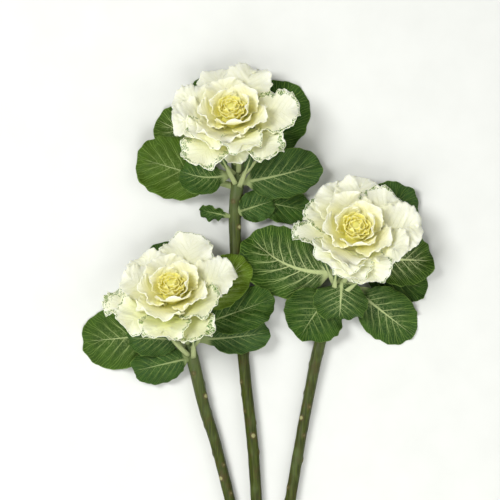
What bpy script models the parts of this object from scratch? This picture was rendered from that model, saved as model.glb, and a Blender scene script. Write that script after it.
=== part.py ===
"""A bunch of three cut ornamental kale stems, lying on a table with their heads facing up.

Frame: metres, +Z up from the table, +Y from the cut ends towards the heads. The origin is on the
table under the middle of the bunch. Sizes in the tables below are in millimetres.

Each stem carries green leaves on its neck and a rosette of white leaves round a yellow heart. The
leaves lie on the table and on one another, in the order of the table below.
"""

import math

import bmesh
import bpy
import numpy as np
from mathutils import Vector
from mathutils.bvhtree import BVHTree

MM = 0.001
UP = np.array((0.0, 0.0, 1.0))
GAP = 0.3
GOLDEN_ANGLE = 137.5

# Stems
STEM_SIDES = 8
SCAR_STEP = 36.0
SCAR_HALF = 3.5
SCAR_HEIGHT = 0.9
FIRST_SCAR = 60.0
LAST_SCAR = 20.0
NECK_RINGS = [0, 4, 9, 14, 19, 24, 30, 38, 46]
LAST_RING = 8.0
TAPER_LENGTH = 150.0

# Blades: how much of their outline is blade and not stalk, and the angle at which it meets the stalk
LEAF_SHARE = 0.72
PETAL_SHARE = 0.8
INNER_SHARE = 0.75
HEART_SHARE = 0.67
LAST_ANGLE = math.radians(160)
RIB_REACH = 0.72
BLADE_THICK = 0.7
NEARLY_FLAT = 0.94
STEEPEST = 0.6
SHARPEST = math.radians(50)
LEAF_LEVELS = (0, 0.12, 0.56, 1)
LEAF_COLUMNS = 14
PETAL_LEVELS = (0, 0.55, 1)
PETAL_COLUMNS = 10
INNER_COLUMNS = 8
HEART_COLUMNS = 6

# How a leaf lies on what is under it
CLEARANCE = 1.2
FEELER = 5.5
STIFFNESS = 0.6

# Rosettes. A profile is turned about the head's axis: pairs of radius and height up that axis.
CORE_SIDES = 10
CORE_RADIUS = 9.0
CORE_HEIGHT = 14.0
CORE_PROFILE = [
    (0, 0.4), (CORE_RADIUS - 2, 0.4), (CORE_RADIUS, 3), (CORE_RADIUS - 1.5, 9), (4, CORE_HEIGHT),
    (0, CORE_HEIGHT),
]
INNER_PETALS = 8
HEART_PETALS = 5
HEART_BASE = CORE_HEIGHT + 0.5
BUD_SIDES = 8
BUD_PROFILE = [
    (0, HEART_BASE), (5, HEART_BASE), (5.5, HEART_BASE + 3), (3.5, HEART_BASE + 8), (0, HEART_BASE + 10),
]


def unit(vector):
    return np.asarray(vector, float) / np.linalg.norm(vector)


def smooth_path(points, steps):
    """Points along a smooth curve through the given points, evenly spread along its length."""
    knots = np.asarray(points, float)
    padded = np.vstack((2 * knots[0] - knots[1], knots, 2 * knots[-1] - knots[-2]))
    fine = []
    for a, b, c, d in zip(padded, padded[1:], padded[2:], padded[3:]):
        for t in np.linspace(0, 1, 24, endpoint=False):
            bend = 2 * b + (c - a) * t + (2 * a - 5 * b + 4 * c - d) * t**2
            fine.append(0.5 * (bend + (3 * b - a - 3 * c + d) * t**3))
    fine = np.vstack((fine, knots[-1]))
    length = np.append(0, np.cumsum(np.linalg.norm(np.diff(fine, axis=0), axis=1)))
    wanted = np.linspace(0, length[-1], steps)
    return np.column_stack([np.interp(wanted, length, fine[:, k]) for k in range(3)])


class Stem:
    """One stem, from its crown, where the rosette sits, down to its cut end."""

    def __init__(self, crown, facing, route, radii):
        self.crown = np.asarray(crown, float)
        self.axis = unit(facing)
        self.right = unit(np.array((1.0, 0, 0)) - self.axis[0] * self.axis)
        self.back = np.cross(self.axis, self.right)
        self.line = smooth_path([self.crown, self.crown - 9 * self.axis, *route], 241)
        steps = np.linalg.norm(np.diff(self.line, axis=0), axis=1)
        self.down = np.append(0, np.cumsum(steps))
        self.length = self.down[-1]
        self.radii = radii

    def point(self, below):
        return np.array([np.interp(below, self.down, self.line[:, k]) for k in range(3)])

    def tangent(self, below):
        middle = min(max(below, 1.5), self.length - 1.5)
        return unit(self.point(middle + 1.5) - self.point(middle - 1.5))

    def radius(self, below):
        crown, foot = self.radii
        return crown + (foot - crown) * min(1.0, below / TAPER_LENGTH)

    def spread(self, angle):
        """The direction straight out from the rosette's axis."""
        return math.cos(math.radians(angle)) * self.right + math.sin(math.radians(angle)) * self.back


STEMS = {
    "tall": Stem(
        crown=(-20.5, 190, 35),
        facing=(-0.05, 0.64, 0.765),
        route=[
            (-18, 168, 15), (-16.5, 147, 9.5), (-19, 121, 9), (-19, 92, 8.5), (-15, 24, 8),
            (-10, -31, 7.5), (-4, -85, 6.5), (0.5, -155, 5.5), (4.1, -243, 4.8),
        ],
        radii=(6.0, 4.8),
    ),
    "right": Stem(
        crown=(82, 93, 31),
        facing=(0.08, 0.5, 0.864),
        route=[
            (77, 76, 14.5), (71, 58, 10), (62.5, 32, 8.5), (52.7, -1, 8), (44.5, -41, 7),
            (36, -86, 6), (25, -155, 5.3), (15.4, -237, 4.6),
        ],
        radii=(6.0, 4.6),
    ),
    "left": Stem(
        crown=(-70.5, 40, 37),
        facing=(-0.08, 0.68, 0.73),
        route=[
            (-65.5, 19.5, 16), (-59.5, 3, 10), (-54, -17, 8.5), (-45.5, -53, 7.5),
            (-35.3, -86, 6.5), (-19, -155, 5.3), (-7.1, -234, 4.6),
        ],
        radii=(6.0, 4.6),
    ),
}


class Blade:
    """A leaf or petal: its midrib as a curve from foot to tip, and the way that its upper face looks.

    Its outline runs once round with around from -1 to 1, and out goes from the midrib to the edge, so
    that a side vein is a line of one value of around.
    """

    def __init__(self, foot, tip, face, width, rise=0.0, swing=0.0, petiole=0.3, curl=0.0, wave=3.0,
                 waves=4.0, phase=0.0, stalk=3.0, rib=3.2, blade_share=LEAF_SHARE):
        self.foot = np.asarray(foot, float)
        self.tip = np.asarray(tip, float)
        self.face = unit(face)
        chord = self.tip - self.foot
        side = unit(np.cross(chord, self.face))
        self.knee = self.foot + 0.5 * chord + rise * np.cross(side, unit(chord)) + swing * side
        self.width = width
        self.petiole = petiole
        self.curl = math.radians(curl)
        self.ripple = (wave, waves, phase)
        self.stalk = stalk
        self.rib = rib
        self.blade_share = blade_share
        self.share = np.linspace(0, 1, 65)
        line = self.along(self.share)
        self.reach = np.append(0, np.cumsum(np.linalg.norm(np.diff(line, axis=0), axis=1)))
        self.length = self.reach[-1]

    def along(self, t):
        t = np.asarray(t)[:, None]
        return (1 - t) ** 2 * self.foot + 2 * t * (1 - t) * self.knee + t**2 * self.tip

    def heading(self, t):
        t = np.asarray(t)[:, None]
        slope = 2 * (1 - t) * (self.knee - self.foot) + 2 * t * (self.tip - self.knee)
        return slope / np.linalg.norm(slope, axis=1, keepdims=True)

    def down_the_stalk(self, around):
        """0 on the blade, rising to 1 at the foot of the stalk."""
        return np.clip((np.abs(around) - self.blade_share) / (1 - self.blade_share), 0, 1)

    def pressed(self, around, out):
        """Where a point lies on the leaf pressed flat, across and along, with its angle on the outline."""
        turn = np.clip(np.abs(around) / self.blade_share, 0, 1) * LAST_ANGLE
        down = self.down_the_stalk(around)
        start = self.petiole * self.length
        rise = (self.length - start) * (1 + np.cos(turn)) / 2
        taper = np.clip(2 * down, 0, 1)
        taper = taper * taper * (3 - 2 * taper)
        edge = self.width / 2 * np.sin(turn) ** 0.85 * (1 - taper) + self.stalk * taper
        rib_end = (start + RIB_REACH * rise) * (1 - down)
        edge_end = (start + rise) * (1 - down)
        return np.sign(around) * out * edge, rib_end + out * (edge_end - rib_end), turn * np.sign(around)

    def surface(self, around, out):
        """Points of the upper face."""
        across, along, turn = self.pressed(around, out)
        t = np.interp(along, self.reach, self.share)
        ahead = self.heading(t)
        side = np.cross(ahead, self.face)
        side /= np.linalg.norm(side, axis=1, keepdims=True)
        normal = np.cross(side, ahead)
        bend = max(abs(self.curl), 0.01) * 2 / self.width
        lift = (1 - np.cos(bend * across)) / bend * math.copysign(1, self.curl)
        wave, waves, phase = self.ripple
        fade = np.clip(5 - 5 * np.abs(around) / self.blade_share, 0, 1)
        lift = lift + fade * wave * out**2 * np.sin(waves * turn + phase)
        return self.along(t) + (np.sin(bend * across) / bend)[:, None] * side + lift[:, None] * normal

    def thickness(self, around, out):
        """A stout half-round stalk that runs on as a thinning midrib under a thin blade."""
        _, along, _ = self.pressed(around, out)
        rib = BLADE_THICK + (self.rib - BLADE_THICK) * np.clip(1 - along / (0.95 * self.length), 0, 1)
        on_stalk = self.down_the_stalk(around) > 0.3
        fade = np.where(on_stalk, np.sqrt(1 - 0.8 * out**2), np.clip(1 - 10 * out, 0, 1))
        return BLADE_THICK + (rib - BLADE_THICK) * fade


class Pile:
    """What already lies on the table, which the next leaf rests on."""

    def __init__(self):
        self.trees = {}

    def add(self, thing):
        points = [vertex.co / MM for vertex in thing.data.vertices]
        faces = [face.vertices[:] for face in thing.data.polygons]
        self.trees[thing.name] = BVHTree.FromPolygons(points, faces)

    def height(self, x, y, passed):
        """The height of the highest thing near a spot, apart from a stem that arches over it."""
        turns = np.radians(np.arange(0, 360, 45))
        spots = [(x, y)] + [(x + FEELER * math.cos(a), y + FEELER * math.sin(a)) for a in turns]
        found = -math.inf
        for name, tree in self.trees.items():
            if name != passed:
                for spot in spots:
                    hit = tree.ray_cast(Vector((*spot, 300)), Vector((0, 0, -1)))[0]
                    found = max(found, hit.z if hit else found)
        return found


def spread_lift(lift):
    """A stiff blade rises round a spot that is lifted, and alike on both sides of its midrib."""
    for _ in range(3):
        lift[0] = np.maximum(lift[0], lift[0, ::-1])
        grown = lift.copy()
        grown[1:] = np.maximum(grown[1:], STIFFNESS * lift[:-1])
        grown[:-1] = np.maximum(grown[:-1], STIFFNESS * lift[1:])
        grown[:, 1:] = np.maximum(grown[:, 1:], STIFFNESS * lift[:, :-1])
        grown[:, :-1] = np.maximum(grown[:, :-1], STIFFNESS * lift[:, 1:])
        lift = grown
    lift[0] = np.maximum(lift[0], lift[0, ::-1])
    return lift


def lying_points(blade, around, out, pile, passed):
    """The blade's points and thickness, lifted clear of the pile and the table."""
    points = blade.surface(around.ravel(), out.ravel())
    thick = blade.thickness(around.ravel(), out.ravel())
    needed = np.array([pile.height(x, y, passed) for x, y, _ in points]) + CLEARANCE + thick
    lift = np.maximum(0, needed - points[:, 2])
    free = 1 - blade.down_the_stalk(around)
    lift = spread_lift(lift.reshape(around.shape) * free) * free
    points[:, 2] = np.maximum(points[:, 2] + lift.ravel(), thick)
    return points, thick


def blade_mesh(name, blade, columns, levels, pile=None, passed=None):
    """A closed leaf: a grid laid on the blade, joined down its midrib, then given its thickness."""
    rows = len(levels) - 1
    around, out = np.meshgrid(np.linspace(-1, 1, columns + 1), levels)
    if pile:
        points, thick = lying_points(blade, around, out, pile, passed)
    else:
        points = blade.surface(around.ravel(), out.ravel())
        thick = blade.thickness(around.ravel(), out.ravel())
    bm = bmesh.new()
    bmesh.ops.create_grid(bm, x_segments=columns, y_segments=rows, size=1)
    weight = bm.verts.layers.float.new("thick")
    for vertex in bm.verts:
        column = round((vertex.co.x + 1) / 2 * columns)
        row = round((vertex.co.y + 1) / 2 * rows)
        k = row * (columns + 1) + column
        vertex[weight] = thick[k]
        vertex.co = Vector(points[k] * MM)
    bmesh.ops.remove_doubles(bm, verts=bm.verts, dist=1e-6)
    bmesh.ops.triangulate(bm, faces=bm.faces)
    thicken(bm, weight)
    return finish_mesh(name, bm)


def thicken(bm, weight):
    """Add the underside, split into triangles as the upper face is, and the edge between them.

    The whole blade is thickened along one direction, so that its two faces never cross.
    """
    bm.normal_update()
    through = sum((vertex.normal for vertex in bm.verts), Vector()).normalized()
    if through.z > NEARLY_FLAT:
        through = Vector(UP)
    faces = list(bm.faces)
    rim = [edge for edge in bm.edges if edge.is_boundary]
    under = {}
    for vertex in list(bm.verts):
        depth = vertex[weight] * MM / max(vertex.normal.dot(through), STEEPEST)
        low = vertex.co - through * depth
        low.z = max(low.z, 0)
        under[vertex] = bm.verts.new(low)
    for face in faces:
        bm.faces.new([under[vertex] for vertex in reversed(face.verts)])
    for edge in rim:
        loop = edge.link_loops[0]
        a, b = loop.vert, loop.link_loop_next.vert
        bm.faces.new((a, under[a], under[b]))
        bm.faces.new((a, under[b], b))


def finish_mesh(name, bm):
    mesh = bpy.data.meshes.new(name)
    bm.to_mesh(mesh)
    bm.free()
    return mesh


def stem_stations(stem):
    """Where the stem's rings are: three to each leaf scar, wider apart elsewhere."""
    scars = np.arange(FIRST_SCAR, stem.length - LAST_SCAR, SCAR_STEP)
    rings = list(NECK_RINGS)
    for scar in scars:
        rings += [scar - SCAR_HALF, scar, scar + SCAR_HALF]
    return rings + [stem.length - LAST_RING, stem.length], scars


def stem_mesh(name, stem, spare=0.0):
    """The stem as a tube along its centre line, with a raised scar wherever a lower leaf has fallen."""
    rings, scars = stem_stations(stem)
    bm = bmesh.new()
    bmesh.ops.create_grid(bm, x_segments=STEM_SIDES, y_segments=len(rings) - 1, size=1)
    for vertex in bm.verts:
        turn = math.pi * vertex.co.x
        below = rings[round((vertex.co.y + 1) / 2 * (len(rings) - 1))]
        ahead = stem.tangent(below)
        side = unit(np.cross(ahead, UP))
        radius = stem.radius(below) + spare
        for number, scar in enumerate(scars):
            if below == scar:
                away = math.remainder(turn - number * math.radians(GOLDEN_ANGLE), 2 * math.pi)
                radius += SCAR_HEIGHT * math.exp(-4 * away * away)
        outward = math.cos(turn) * side + math.sin(turn) * np.cross(side, ahead)
        point = stem.point(below) + radius * outward
        if below in (0, stem.length):
            point += spare * ahead * (1 if below else -1)
        point[2] = max(point[2], -spare)
        vertex.co = Vector(point * MM)
    bmesh.ops.remove_doubles(bm, verts=bm.verts, dist=1e-6)
    bmesh.ops.holes_fill(bm, edges=bm.edges, sides=0)
    bmesh.ops.triangulate(bm, faces=bm.faces)
    bmesh.ops.recalc_face_normals(bm, faces=bm.faces)
    return finish_mesh(name, bm)


def bud_mesh(name, stem, profile, sides):
    """A solid of revolution about a rosette's axis, from (radius, height) pairs up that axis."""
    bm = bmesh.new()
    bmesh.ops.create_grid(bm, x_segments=sides, y_segments=len(profile) - 1, size=1)
    for vertex in bm.verts:
        radius, height = profile[round((vertex.co.y + 1) / 2 * (len(profile) - 1))]
        outward = stem.spread(180 * vertex.co.x)
        vertex.co = Vector((stem.crown + radius * outward + height * stem.axis) * MM)
    bmesh.ops.remove_doubles(bm, verts=bm.verts, dist=1e-6)
    bmesh.ops.holes_fill(bm, edges=bm.edges, sides=0)
    bmesh.ops.triangulate(bm, faces=bm.faces)
    bmesh.ops.recalc_face_normals(bm, faces=bm.faces)
    return finish_mesh(name, bm)


def petal(stem, angle, radius, height, width, root=2.0, start=6.0, face=0.4, **shape):
    """A petal from the rosette's core to a tip at a given angle, radius and height on its axis."""
    outward = stem.spread(angle)
    shape = {
        "petiole": 0.22, "curl": 20, "wave": 2.5, "waves": 4.5, "stalk": 3.0, "rib": 1.6,
        "blade_share": PETAL_SHARE,
    } | shape
    return Blade(
        foot=stem.crown + start * outward + root * stem.axis,
        tip=stem.crown + radius * outward + height * stem.axis,
        face=stem.axis - face * outward,
        width=width,
        **shape,
    )


def new_object(name, mesh):
    thing = bpy.data.objects.new(name, mesh)
    bpy.context.scene.collection.objects.link(thing)
    return thing


def apply_boolean(thing, operation, tools):
    """Join the tools to the thing or cut them from it, then remove them and any loose scrap."""
    group = bpy.data.collections.new(thing.name + "_tools")
    for tool in tools:
        group.objects.link(tool)
    step = thing.modifiers.new(operation, "BOOLEAN")
    step.operation = operation
    step.operand_type = "COLLECTION"
    step.collection = group
    step.solver = "EXACT"
    step.use_self = operation == "UNION"
    solved = thing.evaluated_get(bpy.context.evaluated_depsgraph_get())
    mesh = bpy.data.meshes.new_from_object(solved)
    thing.modifiers.clear()
    thing.data = mesh
    keep_largest(mesh)
    for tool in tools:
        bpy.data.objects.remove(tool)
    bpy.data.collections.remove(group)


def keep_largest(mesh):
    """Drop every closed shell but the one with the largest volume, scraps and sealed hollows alike."""
    bm = bmesh.new()
    bm.from_mesh(mesh)
    bmesh.ops.remove_doubles(bm, verts=bm.verts, dist=2e-6)
    bmesh.ops.triangulate(bm, faces=bm.faces)
    left = set(bm.faces)
    shells = []
    while left:
        todo = [left.pop()]
        shell = set(todo)
        while todo:
            near = {other for edge in todo.pop().edges for other in edge.link_faces} - shell
            shell |= near
            todo += near
        left -= shell
        shells.append(shell)
    best = max(shells, key=shell_volume)
    loose = [face for shell in shells if shell is not best for face in shell]
    bmesh.ops.delete(bm, geom=loose, context="FACES")
    bm.to_mesh(mesh)
    bm.free()


def shell_volume(shell):
    return sum(a.co.dot(b.co.cross(c.co)) for a, b, c in (face.verts for face in shell)) / 6


def paint(thing, slot):
    thing.data.materials.clear()
    thing.data.materials.append(MATERIALS[slot])
    thing.data.shade_smooth()
    thing.data.set_sharp_from_angle(angle=SHARPEST)


def make_material(name, colour, roughness):
    made = bpy.data.materials.new(name)
    made.use_nodes = True
    shader = made.node_tree.nodes["Principled BSDF"]
    shader.inputs["Base Color"].default_value = (*colour, 1)
    shader.inputs["Roughness"].default_value = roughness
    shader.inputs["Metallic"].default_value = 0
    return made


# Green leaves, from the lowest on the table to the topmost: stem, distance below its crown, shape
LEAVES = {
    "left_leaf_top": ("left", 34, dict(tip=(-84, 90, 1), width=42, rise=-5, wave=1)),
    "tall_leaf_left_upper": ("tall", 38, dict(tip=(-87, 196, 2), width=50, rise=-3, wave=1.5, petiole=0.25)),
    "tall_leaf_top": ("tall", 28, dict(tip=(-49, 233, 3), width=40, rise=-2, wave=1)),
    "tall_leaf_right_back": ("tall", 50, dict(tip=(30, 227, -3), width=58, swing=5, wave=1.5)),
    "right_leaf_top": ("right", 16, dict(tip=(132, 136, 5), width=48, rise=3, curl=-8, phase=1)),
    "right_leaf_side_low": ("right", 32, dict(tip=(147, 50, -2), width=38, rise=-2, curl=8)),
    "tall_leaf_right_low": ("tall", 70, dict(tip=(46, 117, 2), width=30, rise=-4, wave=1.5)),
    "right_leaf_left_large": (
        "right", 37, dict(tip=(-7, 97, 3), width=60, swing=-25, rise=3, curl=8, petiole=0.2),
    ),
    "right_leaf_side": ("right", 24, dict(tip=(151, 74, 8), width=46, rise=4, curl=10)),
    "right_leaf_front_right": ("right", 44, dict(tip=(134, 10, -3), width=46, rise=4, curl=-12)),
    "right_leaf_front_left": (
        "right", 50, dict(tip=(37, 8, 2), width=54, swing=4, rise=8, curl=-14, petiole=0.22, phase=2),
    ),
    "right_leaf_front": ("right", 40, dict(tip=(70, 23, 19), width=48, rise=15, curl=-10, petiole=0.25)),
    "tall_leaf_right_small": ("tall", 84, dict(tip=(14, 126, 8), width=28, petiole=0.14, wave=1)),
    "tall_leaf_right_long": (
        "tall", 58, dict(tip=(54, 158, 12), width=42, swing=4, rise=8, curl=14, petiole=0.16),
    ),
    "tall_leaf_left_large": (
        "tall", 62, dict(tip=(-104, 163, 12), width=54, rise=6, curl=12, petiole=0.28),
    ),
    "tall_leaf_left_small": (
        "tall", 88, dict(tip=(-50, 118, 10), face=(0, -0.5, 0.86), width=15, wave=1, stalk=2, rib=2),
    ),
    "tall_leaf_left_cupped": (
        "tall", 47, dict(tip=(-66, 151, 25), width=32, swing=-12, rise=9, curl=25, petiole=0.35, wave=1.5),
    ),
    "left_leaf_left_large": (
        "left", 38, dict(tip=(-151, 4, -3), width=54, curl=8, phase=2, petiole=0.32),
    ),
    "left_leaf_front_low": ("left", 61, dict(tip=(-107, -21, 4), width=34, rise=9, curl=-25, petiole=0.14)),
    "left_leaf_front": ("left", 44, dict(tip=(-111, 8, 17), width=32, rise=10, curl=-15, petiole=0.16)),
    "left_leaf_right_front": ("left", 45, dict(tip=(11, 13, 15), width=30, swing=3, rise=8, curl=10)),
    "left_leaf_right_side": ("left", 37, dict(tip=(14, 42, 17), width=38, rise=8, curl=8, phase=3)),
    "left_leaf_right_upper": ("left", 28, dict(tip=(-9, 75, 20), width=40, rise=8, curl=10, phase=1)),
}

UNDER_THE_NECK = (
    "left_leaf_top", "tall_leaf_top", "tall_leaf_left_upper", "tall_leaf_right_back", "right_leaf_top",
)

# Outer petals: angle round the rosette (0 right, 90 back), radius, height on its axis, width
OUTER_PETALS = {
    "tall": [
        (88, 56, 8, 34), (311, 57, 6, 38), (235, 60, 5, 44), (107, 54, 14, 44), (72, 58, 14, 46),
        (2, 57, 14, 50), (157, 54, 15, 44), (188, 52, 14, 48), (228, 43, 16, 50), (284, 46, 14, 38),
    ],
    "right": [
        (180, 54, 8, 26), (147, 49, 8, 34), (115, 51, 13, 44), (84, 54, 14, 44), (46, 52, 14, 46),
        (8, 58, 14, 50), (335, 47, 14, 42), (286, 52, 12, 44), (262, 47, 11, 38), (236, 44, 15, 50),
    ],
    "left": [
        (188, 61, 8, 36), (296, 57, 7, 40), (90, 55, 10, 40), (72, 60, 22, 48), (20, 56, 16, 46),
        (127, 51, 15, 44), (158, 47, 16, 42), (221, 56, 12, 46), (260, 54, 12, 46), (325, 44, 16, 44),
    ],
}


def build_rosette(head, stem, pile):
    """White petals in rings round a core: the outer ones wide and spread, the inner ones upright."""
    thing = new_object(head + "_rosette", bud_mesh(head + "_rosette", stem, CORE_PROFILE, CORE_SIDES))
    parts = []
    for number, (angle, radius, height, width) in enumerate(OUTER_PETALS[head]):
        blade = petal(stem, angle, radius, height, width, rise=2, wave=3, phase=number)
        parts.append(blade_mesh("petal", blade, PETAL_COLUMNS, PETAL_LEVELS, pile))
    for number in range(INNER_PETALS):
        share = number / (INNER_PETALS - 1)
        blade = petal(
            stem, number * GOLDEN_ANGLE, 14 + 24 * share, 29 - 8 * share, 22 + 20 * share,
            root=10 - 6 * share, start=4, face=1.2 - 0.7 * share, rise=-6 + 3 * share,
            curl=38 - 14 * share, wave=1.4 + share, phase=number, blade_share=INNER_SHARE,
        )
        parts.append(blade_mesh("petal", blade, INNER_COLUMNS, PETAL_LEVELS))
    apply_boolean(thing, "UNION", [new_object("petal", part) for part in parts])
    return thing


def build_heart(head, stem):
    """The tight yellow heart: a small bud with folded young leaves standing round it."""
    thing = new_object(head + "_heart", bud_mesh(head + "_heart", stem, BUD_PROFILE, BUD_SIDES))
    parts = []
    for number in range(HEART_PETALS):
        blade = petal(
            stem, number * GOLDEN_ANGLE, 7 + 0.5 * number, HEART_BASE + 12 - 0.5 * number, 11,
            root=HEART_BASE + 2.5, start=2, face=1, rise=-2, curl=40, wave=0.8, phase=number,
            stalk=2.5, rib=1.2, blade_share=HEART_SHARE,
        )
        parts.append(blade_mesh("petal", blade, HEART_COLUMNS, PETAL_LEVELS))
    apply_boolean(thing, "UNION", [new_object("petal", part) for part in parts])
    return thing


def build_leaf(name, pile):
    head, below, shape = LEAVES[name]
    stem = STEMS[head]
    blade = Blade(foot=stem.point(below), **({"face": UP} | shape))
    passed = head + "_stem" if name in UNDER_THE_NECK else None
    thing = new_object(name, blade_mesh(name, blade, LEAF_COLUMNS, LEAF_LEVELS, pile, passed))
    cut_clear(thing, stem)
    pile.add(thing)
    return thing


def cut_clear(thing, stem):
    """Leave a hair's breadth between a leaf's foot and the stem that it grows from."""
    apply_boolean(thing, "DIFFERENCE", [new_object("cutter", stem_mesh("cutter", stem, GAP))])


for old in list(bpy.data.objects):
    bpy.data.objects.remove(old)

MATERIALS = {
    "stem": make_material("stem", (0.12, 0.15, 0.045), 0.55),
    "green_leaf": make_material("green_leaf", (0.045, 0.11, 0.022), 0.5),
    "white_petal": make_material("white_petal", (0.86, 0.87, 0.66), 0.55),
    "yellow_heart": make_material("yellow_heart", (0.8, 0.7, 0.15), 0.55),
}

lying = Pile()
for head_name, head_stem in STEMS.items():
    stem_thing = new_object(head_name + "_stem", stem_mesh(head_name + "_stem", head_stem))
    paint(stem_thing, "stem")
    lying.add(stem_thing)
for leaf_name in LEAVES:
    paint(build_leaf(leaf_name, lying), "green_leaf")
for head_name, head_stem in STEMS.items():
    rosette = build_rosette(head_name, head_stem, lying)
    cut_clear(rosette, head_stem)
    paint(rosette, "white_petal")
    paint(build_heart(head_name, head_stem), "yellow_heart")
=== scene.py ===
"""The looks of a bunch of three cut ornamental kale stems, lying on a table with their heads up.

The frame has +Z up from the table and +Y from the cut ends towards the heads. Sizes here are in
millimetres, and each mesh is placed in metres.
"""

import math

import bmesh
import bpy
import numpy as np
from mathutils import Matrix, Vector, noise
from mathutils.bvhtree import BVHTree


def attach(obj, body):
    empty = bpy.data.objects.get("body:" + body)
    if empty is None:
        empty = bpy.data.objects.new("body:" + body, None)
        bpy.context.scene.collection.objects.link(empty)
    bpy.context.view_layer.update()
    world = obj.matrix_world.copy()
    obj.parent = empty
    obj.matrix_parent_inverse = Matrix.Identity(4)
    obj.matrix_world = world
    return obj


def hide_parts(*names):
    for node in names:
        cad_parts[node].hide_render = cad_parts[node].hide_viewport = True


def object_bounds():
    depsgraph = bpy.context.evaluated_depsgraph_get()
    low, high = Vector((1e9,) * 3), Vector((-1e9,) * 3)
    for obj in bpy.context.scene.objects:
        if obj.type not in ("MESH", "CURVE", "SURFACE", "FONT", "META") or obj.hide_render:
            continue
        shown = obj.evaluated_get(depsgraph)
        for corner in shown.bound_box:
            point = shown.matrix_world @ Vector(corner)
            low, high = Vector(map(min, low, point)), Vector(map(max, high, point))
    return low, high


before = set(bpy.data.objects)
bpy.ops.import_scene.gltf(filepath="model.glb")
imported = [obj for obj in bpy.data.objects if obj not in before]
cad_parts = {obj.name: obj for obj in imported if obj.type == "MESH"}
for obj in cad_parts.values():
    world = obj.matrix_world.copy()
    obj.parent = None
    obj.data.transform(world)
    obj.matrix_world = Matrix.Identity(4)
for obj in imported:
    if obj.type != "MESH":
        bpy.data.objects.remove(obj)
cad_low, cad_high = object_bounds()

# Stems
# A kale stem is stout and woody under a smooth waxy skin, with a pale raised scar wherever a lower leaf
# has dropped. It is grey-green under the head, olive lower down, and cut straight across at its foot.

MM = 0.001
UP = np.array((0.0, 0.0, 1.0))
GOLDEN_ANGLE = 137.5
STRAIGHT_NECK = 9.0
TAPER_LENGTH = 150.0
CURVE_STEPS = 24
LINE_STEPS = 241
STEM_SIDES = 40
RING_STEP = 1.5
RIDGES = 5
RIDGE_HEIGHT = 0.12
RIDGE_TWIST = 40.0
UNEVENNESS = 0.25
UNEVEN_LENGTH = 9.0
FIRST_SCAR = 60.0
LAST_SCAR = 20.0
SCAR_STEP = 36.0
SCAR_HEIGHT = 1.1
SCAR_HALF_LENGTH = 2.4
CUT_ROUNDING = 0.5
SKIN = 0.5
WOOD = 1.0
WAX_REACH = 60.0

# The scars in each step down the stem: part of the step, further angle round it, height
SCARS = ((0.0, 0.0, SCAR_HEIGHT), (0.4, 68.0, 0.7), (0.7, 205.0, 0.7))

# The rings of the cut face from its rim in: width, and the colour from green skin 1 to pith 0
CUT_RINGS = ((SKIN, 0.8), (WOOD, 0.5), (WOOD, 0.0))


def unit(vector):
    return np.asarray(vector, float) / np.linalg.norm(vector)


def smooth_path(points, steps):
    """Points along a smooth curve through the given points, evenly spread along its length."""
    knots = np.asarray(points, float)
    padded = np.vstack((2 * knots[0] - knots[1], knots, 2 * knots[-1] - knots[-2]))
    fine = []
    for a, b, c, d in zip(padded, padded[1:], padded[2:], padded[3:]):
        for t in np.linspace(0, 1, CURVE_STEPS, endpoint=False):
            bend = 2 * b + (c - a) * t + (2 * a - 5 * b + 4 * c - d) * t**2
            fine.append(0.5 * (bend + (3 * b - a - 3 * c + d) * t**3))
    fine = np.vstack((fine, knots[-1]))
    length = np.append(0, np.cumsum(np.linalg.norm(np.diff(fine, axis=0), axis=1)))
    wanted = np.linspace(0, length[-1], steps)
    return np.column_stack([np.interp(wanted, length, fine[:, k]) for k in range(3)])


class Stem:
    """One stem, from its crown, where the rosette sits, down to its cut end."""

    def __init__(self, crown, facing, route, radii):
        self.crown = np.asarray(crown, float)
        self.axis = unit(facing)
        self.right = unit(np.array((1.0, 0, 0)) - self.axis[0] * self.axis)
        self.back = np.cross(self.axis, self.right)
        self.line = smooth_path([self.crown, self.crown - STRAIGHT_NECK * self.axis, *route], LINE_STEPS)
        steps = np.linalg.norm(np.diff(self.line, axis=0), axis=1)
        self.down = np.append(0, np.cumsum(steps))
        self.length = self.down[-1]
        self.radii = radii

    def point(self, below):
        return np.array([np.interp(below, self.down, self.line[:, k]) for k in range(3)])

    def tangent(self, below):
        middle = min(max(below, RING_STEP), self.length - RING_STEP)
        return unit(self.point(middle + RING_STEP) - self.point(middle - RING_STEP))

    def radius(self, below):
        crown, foot = self.radii
        return crown + (foot - crown) * min(1.0, below / TAPER_LENGTH)

    def spread(self, angle):
        """The direction straight out from the rosette's axis."""
        return math.cos(math.radians(angle)) * self.right + math.sin(math.radians(angle)) * self.back


STEMS = {
    "tall": Stem(
        crown=(-20.5, 190, 35),
        facing=(-0.05, 0.64, 0.765),
        route=[
            (-18, 168, 15), (-16.5, 147, 9.5), (-19, 121, 9), (-19, 92, 8.5), (-15, 24, 8),
            (-10, -31, 7.5), (-4, -85, 6.5), (0.5, -155, 5.5), (4.1, -243, 4.8),
        ],
        radii=(6.0, 4.8),
    ),
    "right": Stem(
        crown=(82, 93, 31),
        facing=(0.08, 0.5, 0.864),
        route=[
            (77, 76, 14.5), (71, 58, 10), (62.5, 32, 8.5), (52.7, -1, 8), (44.5, -41, 7),
            (36, -86, 6), (25, -155, 5.3), (15.4, -237, 4.6),
        ],
        radii=(6.0, 4.6),
    ),
    "left": Stem(
        crown=(-70.5, 40, 37),
        facing=(-0.08, 0.68, 0.73),
        route=[
            (-65.5, 19.5, 16), (-59.5, 3, 10), (-54, -17, 8.5), (-45.5, -53, 7.5),
            (-35.3, -86, 6.5), (-19, -155, 5.3), (-7.1, -234, 4.6),
        ],
        radii=(6.0, 4.6),
    ),
}


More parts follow.
